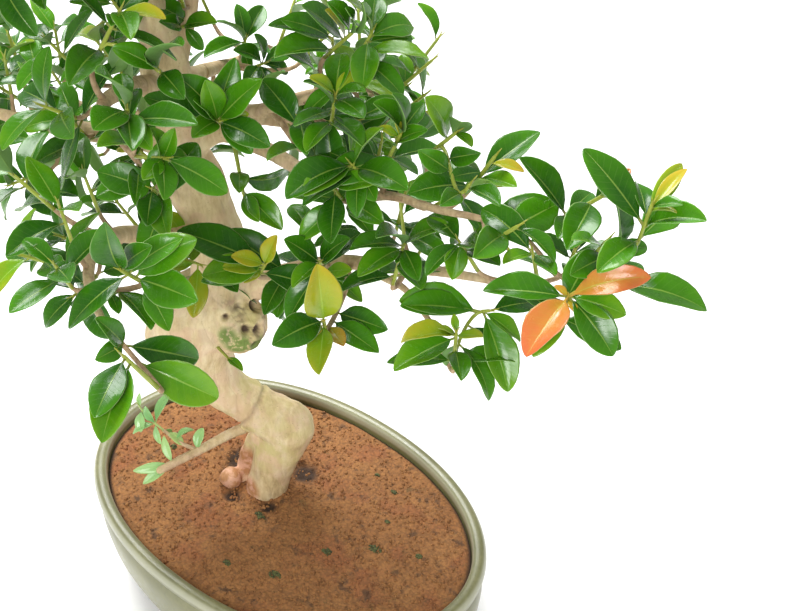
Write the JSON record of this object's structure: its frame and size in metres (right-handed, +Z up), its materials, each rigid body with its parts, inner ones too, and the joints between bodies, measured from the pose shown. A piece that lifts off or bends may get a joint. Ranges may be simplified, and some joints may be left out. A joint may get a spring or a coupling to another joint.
{
  "type": "bonsai tree in a pot",
  "caption": "A broadleaf bonsai with a pale knuckled trunk, long leafy boughs and glossy oval leaves, growing in soil in a glazed oval pot",
  "frame": {"origin": "on the surface that the pot stands on, under the middle of the whole outline", "axes": "+X runs along the pot's long axis towards the longest boughs, -Y is the front of the tree, and +Z is up"},
  "size_m": [0.7876, 0.5874, 1.0095],
  "materials": {
    "glaze": "gloss",
    "soil": "matte",
    "bark": "matte",
    "drain_mesh": "matte",
    "leaf_green": "gloss",
    "leaf_fresh": "gloss",
    "leaf_young": "gloss",
    "leaf_sprout": "satin"
  },
  "bodies": {
    "root": {"pot": "glaze", "soil": "soil", "wood": "bark", "drain_mesh_left": "drain_mesh", "drain_mesh_right": "drain_mesh", "spray_a1": "leaf_young", "spray_a2": "leaf_fresh", "spray_a3": "leaf_green", "spray_a4": "leaf_green", "spray_a5": "leaf_green", "spray_a8": "leaf_green", "spray_b1": "leaf_young", "spray_b2": "leaf_green", "spray_b3": "leaf_fresh", "spray_b4": "leaf_green", "spray_b5": "leaf_fresh", "spray_c1": "leaf_fresh", "spray_c2": "leaf_fresh", "spray_c4": "leaf_fresh", "spray_c5": "leaf_green", "spray_c7": "leaf_green", "spray_c8": "leaf_green", "spray_d1": "leaf_green", "spray_d2": "leaf_green", "spray_d3": "leaf_green", "spray_d4": "leaf_green", "spray_e1": "leaf_green", "spray_e2": "leaf_green", "spray_f1": "leaf_green", "spray_top_1": "leaf_fresh", "spray_top_2": "leaf_green", "spray_top_3": "leaf_green", "spray_top_4": "leaf_green", "spray_e3": "leaf_green", "spray_left_1": "leaf_green", "spray_left_2": "leaf_fresh", "spray_left_3": "leaf_green", "spray_left_low_1": "leaf_green", "spray_left_low_2": "leaf_green", "spray_left_low_3": "leaf_green", "spray_back_1": "leaf_fresh", "spray_back_2": "leaf_green", "spray_back_3": "leaf_fresh", "spray_back_low_1": "leaf_green", "spray_back_low_2": "leaf_green", "spray_back_low_3": "leaf_green", "spray_right_back_1": "leaf_fresh", "spray_right_back_2": "leaf_fresh", "spray_crown_left_1": "leaf_green", "spray_crown_left_2": "leaf_green", "spray_crown_left_3": "leaf_green", "spray_crown_front_1": "leaf_green", "spray_crown_front_2": "leaf_fresh", "spray_crown_back_1": "leaf_green", "spray_crown_back_2": "leaf_green", "spray_crown_right_1": "leaf_green", "spray_crown_right_2": "leaf_green", "spray_crown_right_3": "leaf_green", "spray_sprout": "leaf_sprout"}
  },
  "joints": []
}
